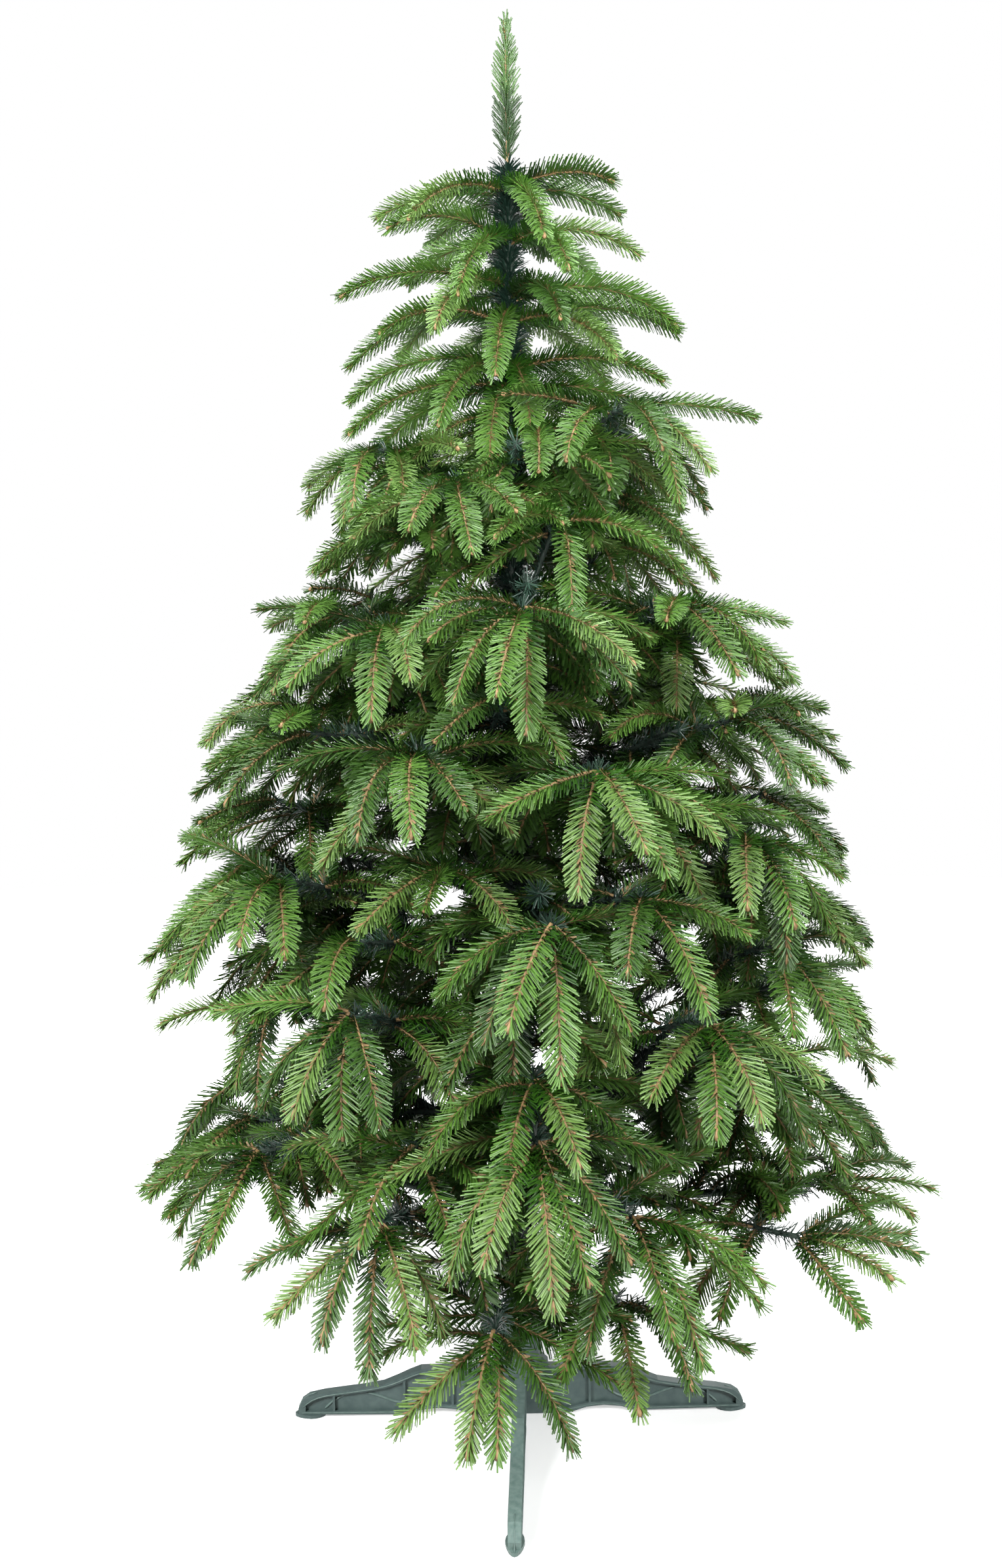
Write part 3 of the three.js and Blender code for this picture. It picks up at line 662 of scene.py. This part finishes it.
f = np.concatenate([f, np.array(fan)])
ob = mesh_from("pole_core", v, f)
give(ob, mat_core, "pole_wrap", "pole")
print("piece", ob.name, len(f))
pz = np.arange(0.14, POLE_TOP_Z - 0.004, 0.0016)
pts = np.stack([0 * pz, 0 * pz, pz], 1)
v, f = bristle(pts, np.tile([0, 0, 1.0], (len(pts), 1)), 16, 0.0275, 0.0021, 0.30, RNG)
ob = mesh_from("pole_film", v, f, smooth=False)
give(ob, mat_film, "pole_wrap", "pole")
print("piece", ob.name, len(f))

# stand: the CAD pieces with softened edges
for n in ("stand_blade_side", "stand_blade_front", "stand_socket"):
    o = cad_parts[n]
    o.data.materials.clear()
    # the front blade takes the paler copy, painted light as if lit from above
    o.data.materials.append(mat_stand_lit if n == "stand_blade_front" else mat_stand)
    bv = o.modifiers.new("edge", "BEVEL")
    bv.width = 0.0006
    bv.segments = 2
    bv.limit_method = "ANGLE"
    bv.angle_limit = math.radians(35)

# relief moulded on the blades: a bead round the rim, an S-shaped rib in each panel, a seam along the toe
SIDE_TURN, FRONT_TURN = math.radians(0.8), math.radians(90 - 2.4)


def bead(xz, y, turn, radius, steps=30):
    """A round bead along a line drawn on a blade's face. xz in millimetres along the blade and up, y across it."""
    xz = np.array(xz, float)
    seg = np.concatenate([[0], np.cumsum(np.linalg.norm(np.diff(xz, axis=0), axis=1))])
    s = np.linspace(0, seg[-1], steps)
    x, z = (np.interp(s, seg, xz[:, k]) for k in (0, 1))
    for _ in range(3):
        x[1:-1] = (x[:-2] + 2 * x[1:-1] + x[2:]) / 4
        z[1:-1] = (z[:-2] + 2 * z[1:-1] + z[2:]) / 4
    p = np.stack([x, np.full(steps, y), z], 1) / 1000
    t = unit(np.gradient(p, axis=0))
    u = np.cross(t, [0, 1.0, 0])
    c, s_ = math.cos(turn), math.sin(turn)
    spin = np.array([[c, -s_, 0], [s_, c, 0], [0, 0, 1]])
    r = radius * np.concatenate([[0.3, 0.75], np.ones(steps - 4), [0.75, 0.3]])
    w = np.tile([0, 1.0, 0], (steps, 1))
    return rings_mesh((p @ spin.T)[None], (u @ spin.T)[None], (w @ spin.T)[None], r[None], 6)


RIM = [(34, 57), (124, 56), (139, 51.5), (154, 44), (173, 37.4), (198, 33.4), (251, 27.4), (266, 24), (276, 19), (281, 11)]
SOLE = [(281, 6), (262, 5.5), (160, 5), (145, 4.6), (127, 9.8), (106, 12), (84, 10), (66, 5), (40, 3)]
S_RIB = [(101, 50), (104, 38), (111, 28), (124, 19.5), (142, 14.5), (158, 15), (172, 20), (184, 25), (198, 28.5)]
TOE_RIB = [(218, 29), (230, 25), (242, 18), (252, 9)]
ribs = []
for turn in (SIDE_TURN, FRONT_TURN):
    for way in (1, -1):
        for face in (1, -1):
            for line, y, r in ((RIM, 7.0, 0.0009), (SOLE, 7.0, 0.0008), (S_RIB, 2.2, 0.0017), (TOE_RIB, 2.2, 0.0014)):
                ribs.append(bead([(way * a, b) for a, b in line], face * y, turn, r))
        ribs.append(bead([(way * a, b) for a, b in ((262, 28.6), (272, 26), (281, 20), (285, 12), (286, 4.4), (289, 4.2))], 0, turn, 0.0006))
v, f = join(ribs)
ob = mesh_from("stand_relief", v, f)
# the beads take the paler copy: painted highlights along the rims and ribs
give(ob, mat_stand_lit, "stand_plastic")
print("piece", ob.name, len(f))

print("tips", NT, "needles", NN, "needle tris", NN * 4)

# ------------------------------------------------------------------ stage, light, camera
bpy.ops.mesh.primitive_circle_add(vertices=96, radius=9, fill_type="NGON", location=(0, 0, -0.0004))
floor = bpy.context.object
floor.name = "floor"
fm = bpy.data.materials.new("floor_painted_glow")
fm.use_nodes = True
fb = fm.node_tree.nodes["Principled BSDF"]
fb.inputs["Base Color"].default_value = (0.90, 0.90, 0.90, 1)
fb.inputs["Roughness"].default_value = 0.9
# the floor glows though it is no lamp: painted light, its emission rising from 0.34 near the tree to 1.0 beyond 1.9 m
# so the far floor turns white
fb.inputs["Emission Color"].default_value = (1, 1, 1, 1)
fco = fm.node_tree.nodes.new("ShaderNodeTexCoord")
flen = fm.node_tree.nodes.new("ShaderNodeVectorMath")
flen.operation = "LENGTH"
floor_glow_ramp = fm.node_tree.nodes.new("ShaderNodeMapRange")
floor_glow_ramp.interpolation_type = "SMOOTHSTEP"
floor_glow_ramp.inputs["From Min"].default_value = 0.55
floor_glow_ramp.inputs["From Max"].default_value = 1.9
floor_glow_ramp.inputs["To Min"].default_value = 0.34
floor_glow_ramp.inputs["To Max"].default_value = 1.0
fm.node_tree.links.new(fco.outputs["Object"], flen.inputs[0])
fm.node_tree.links.new(flen.outputs["Value"], floor_glow_ramp.inputs["Value"])
fm.node_tree.links.new(floor_glow_ramp.outputs["Result"], fb.inputs["Emission Strength"])
floor.data.materials.append(fm)
floor.visible_diffuse = False

world = bpy.data.worlds.new("studio")
scene.world = world
world.use_nodes = True
bg = world.node_tree.nodes["Background"]
bg.inputs["Color"].default_value = (1, 1, 1, 1)
bg.inputs["Strength"].default_value = 0.15
behind = world.node_tree.nodes.new("ShaderNodeBackground")
behind.inputs["Color"].default_value = (1, 1, 1, 1)
path_kind = world.node_tree.nodes.new("ShaderNodeLightPath")
blend = world.node_tree.nodes.new("ShaderNodeMixShader")
world.node_tree.links.new(path_kind.outputs["Is Camera Ray"], blend.inputs["Fac"])
world.node_tree.links.new(bg.outputs["Background"], blend.inputs[1])
world.node_tree.links.new(behind.outputs["Background"], blend.inputs[2])
world.node_tree.links.new(blend.outputs["Shader"], world.node_tree.nodes["World Output"].inputs["Surface"])


def area(name, loc, target, size, power):
    l = bpy.data.lights.new(name, "AREA")
    l.shape = "RECTANGLE"
    l.size, l.size_y = size
    l.energy = power
    o = bpy.data.objects.new(name, l)
    o.location = loc
    o.rotation_euler = (Vector(target) - Vector(loc)).to_track_quat("-Z", "Y").to_euler()
    scene.collection.objects.link(o)
    return o


area("key_left", (-2.1, -2.6, 2.5), (0, 0, 1.0), (1.0, 1.3), 222)
area("key_right", (2.3, -2.5, 2.3), (0, 0, 1.0), (1.0, 1.3), 168)
area("top", (0, -0.6, 3.6), (0, 0, 0.6), (2.2, 2.2), 118)
area("back_soft", (0.5, 3.0, 2.2), (0, 0, 0.9), (2.0, 2.0), 70)
crown = area("crown_fill", (0.1, -2.3, 0.75), (0, 0, 1.60), (0.5, 0.5), 4)
crown.data.spread = math.radians(36)

cam_data = bpy.data.cameras.new("camera")
cam_data.lens = 27.24
cam_data.sensor_width = 36
cam_data.sensor_fit = "AUTO"
cam_data.clip_start, cam_data.clip_end = 0.05, 60
cam = bpy.data.objects.new("camera", cam_data)
cam.location = (-0.0170, -1.5286, 0.8077)
cam.rotation_euler = (math.radians(90), math.radians(0.65), 0)
scene.collection.objects.link(cam)
scene.camera = cam
scene.view_settings.view_transform = "Standard"
